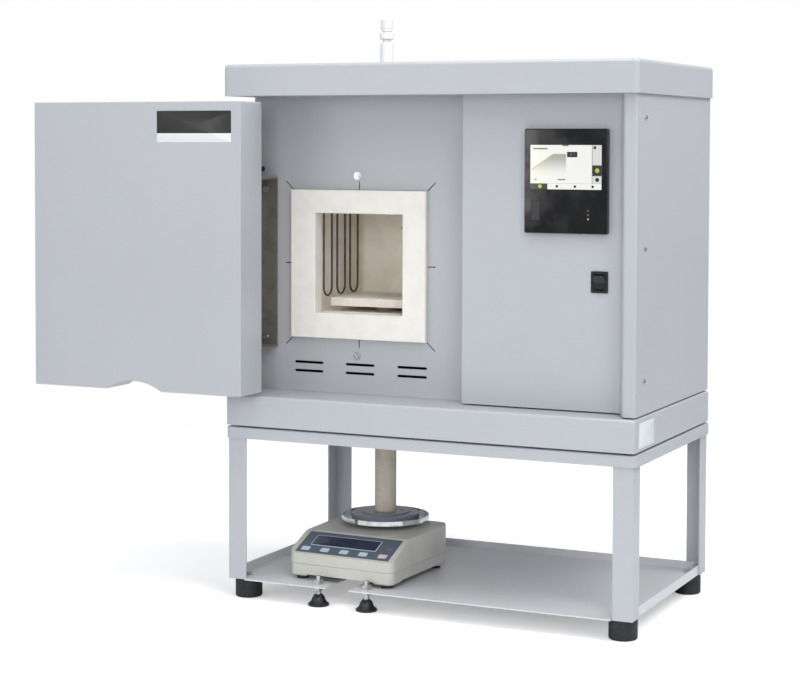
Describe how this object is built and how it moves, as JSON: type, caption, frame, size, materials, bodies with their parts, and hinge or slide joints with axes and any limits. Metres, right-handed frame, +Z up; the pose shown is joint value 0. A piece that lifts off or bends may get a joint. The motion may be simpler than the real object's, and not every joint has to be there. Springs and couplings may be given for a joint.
{
  "type": "muffle furnace",
  "caption": "Weighing muffle furnace on a stand, with a parallel-swinging door shown open, a ceramic sample plate on a tube and a balance under the housing.",
  "frame": {"origin": "floor level below the centre of the housing's footprint", "axes": "+Z up, +X to the right of a person facing the door, +Y to the back"},
  "size_m": [0.959, 0.4292, 0.89],
  "materials": {
    "powder_coat": "satin",
    "recess_coat": "satin",
    "galvanised": "matt",
    "stainless": "brushed",
    "zinc_plated": "satin",
    "black_steel": "satin",
    "black_rubber": "matt",
    "black_plastic": "matt",
    "screen": "gloss",
    "white_ceramic": "matt",
    "fired_ceramic": "matt",
    "insulation": "matt",
    "element": "matt",
    "aluminium": "satin",
    "polished_steel": "polished",
    "grey_steel": "satin",
    "beige_ceramic": "matt",
    "ivory_plastic": "satin",
    "blue_foil": "satin",
    "grey_key": "satin",
    "red_key": "satin"
  },
  "bodies": {
    "furnace": {"lid": "powder_coat", "plinth_housing": "powder_coat", "side_panel_left": "powder_coat", "side_panel_right": "powder_coat", "control_panel": "powder_coat", "recess_panel": "recess_coat", "rear_panel": "powder_coat", "base_plate": "galvanised", "frame_ring": "powder_coat", "stand_legs": "powder_coat", "rubber_feet": "black_rubber", "tray": "powder_coat", "tray_fixings": "zinc_plated", "case_screws": "black_steel", "vent_pipe": "stainless", "vent_cap": "stainless", "hinge_bracket": "stainless", "hinge_pin": "stainless", "door_sensor": "black_plastic", "chamber_collar": "white_ceramic", "chamber_floor": "fired_ceramic", "chamber_roof": "fired_ceramic", "chamber_walls": "fired_ceramic", "chamber_back": "fired_ceramic", "backup_insulation": "insulation", "floor_bushing": "white_ceramic", "heating_elements": "element", "element_holders": "white_ceramic", "power_straps": "aluminium", "thermocouple": "beige_ceramic", "transformer": "black_steel", "switching_unit": "aluminium", "cable_gland": "black_plastic", "controller_body": "black_plastic", "controller_screen": "screen", "switch_housing": "black_plastic", "balance_feet": "black_rubber", "balance_lower_shell": "ivory_plastic", "balance_upper_shell": "ivory_plastic", "balance_foil": "blue_foil", "load_cell": "aluminium"},
    "swing_arm": {"swing_arm": "stainless"},
    "guide_link": {"guide_link": "stainless"},
    "door": {"door_shell": "powder_coat", "door_rear_cover": "powder_coat", "door_plug": "white_ceramic", "door_hinge_lugs": "stainless"},
    "weighing_column": {"weighing_pan": "polished_steel", "adapter_disc": "grey_steel", "support_tube": "beige_ceramic", "sample_plate": "white_ceramic"},
    "levelling_foot_left": {"levelling_foot_left": "black_rubber"},
    "levelling_foot_right": {"levelling_foot_right": "black_rubber"},
    "controller_flap": {"controller_flap": "black_plastic"},
    "switch_rocker": {"switch_rocker": "black_plastic"},
    "key_on_off": {"key_on_off": "grey_key"},
    "key_print": {"key_print": "grey_key"},
    "key_unit": {"key_unit": "grey_key"},
    "key_count": {"key_count": "grey_key"},
    "key_tare": {"key_tare": "red_key"}
  },
  "joints": [
    {"name": "arm_swing", "type": "hinge", "parent": "furnace", "child": "swing_arm", "pos_m": [-0.3, -0.149, 0.51], "axis": [0, 0, 1], "range_deg": [0, 158]},
    {"name": "door_pivot", "type": "hinge", "parent": "swing_arm", "child": "door", "pos_m": [-0.44649, -0.20819, 0.51], "axis": [0, 0, 1], "range_deg": [-158, 0]},
    {"name": "link_swing", "type": "hinge", "parent": "furnace", "child": "guide_link", "pos_m": [-0.31374, -0.15167, 0.65], "axis": [0, 0, 1], "range_deg": [0, 158]},
    {"name": "column_travel", "type": "slide", "parent": "furnace", "child": "weighing_column", "axis": [0, 0, 1], "range_m": [-0.0005, 0], "stiffness_N_per_m": 40000, "springref_m": 0.0006},
    {"name": "levelling_foot_left_turn", "type": "hinge", "parent": "furnace", "child": "levelling_foot_left", "pos_m": [-0.175, -0.165, 0.02], "axis": [0, 0, 1], "continuous": true},
    {"name": "levelling_foot_right_turn", "type": "hinge", "parent": "furnace", "child": "levelling_foot_right", "pos_m": [-0.095, -0.165, 0.02], "axis": [0, 0, 1], "continuous": true},
    {"name": "flap_hinge", "type": "hinge", "parent": "furnace", "child": "controller_flap", "pos_m": [0.1615, -0.143, 0.586], "axis": [1, 0, 0], "range_deg": [0, 95]},
    {"name": "rocker_tilt", "type": "hinge", "parent": "furnace", "child": "switch_rocker", "pos_m": [0.256, -0.132, 0.499], "axis": [1, 0, 0], "range_deg": [-18, 0]},
    {"name": "key_on_off_press", "type": "slide", "parent": "furnace", "child": "key_on_off", "axis": [0.0176, 0.4021, -0.9154], "range_m": [0, 0.0006], "stiffness_N_per_m": 500},
    {"name": "key_print_press", "type": "slide", "parent": "furnace", "child": "key_print", "axis": [0.0176, 0.4021, -0.9154], "range_m": [0, 0.0006], "stiffness_N_per_m": 500},
    {"name": "key_unit_press", "type": "slide", "parent": "furnace", "child": "key_unit", "axis": [0.0176, 0.4021, -0.9154], "range_m": [0, 0.0006], "stiffness_N_per_m": 500},
    {"name": "key_count_press", "type": "slide", "parent": "furnace", "child": "key_count", "axis": [0.0176, 0.4021, -0.9154], "range_m": [0, 0.0006], "stiffness_N_per_m": 500},
    {"name": "key_tare_press", "type": "slide", "parent": "furnace", "child": "key_tare", "axis": [0.0176, 0.4021, -0.9154], "range_m": [0, 0.0006], "stiffness_N_per_m": 500}
  ],
  "couplings": [
    {"joint": "door_pivot", "follows": "arm_swing", "ratio": -1},
    {"joint": "link_swing", "follows": "arm_swing", "ratio": 1}
  ]
}
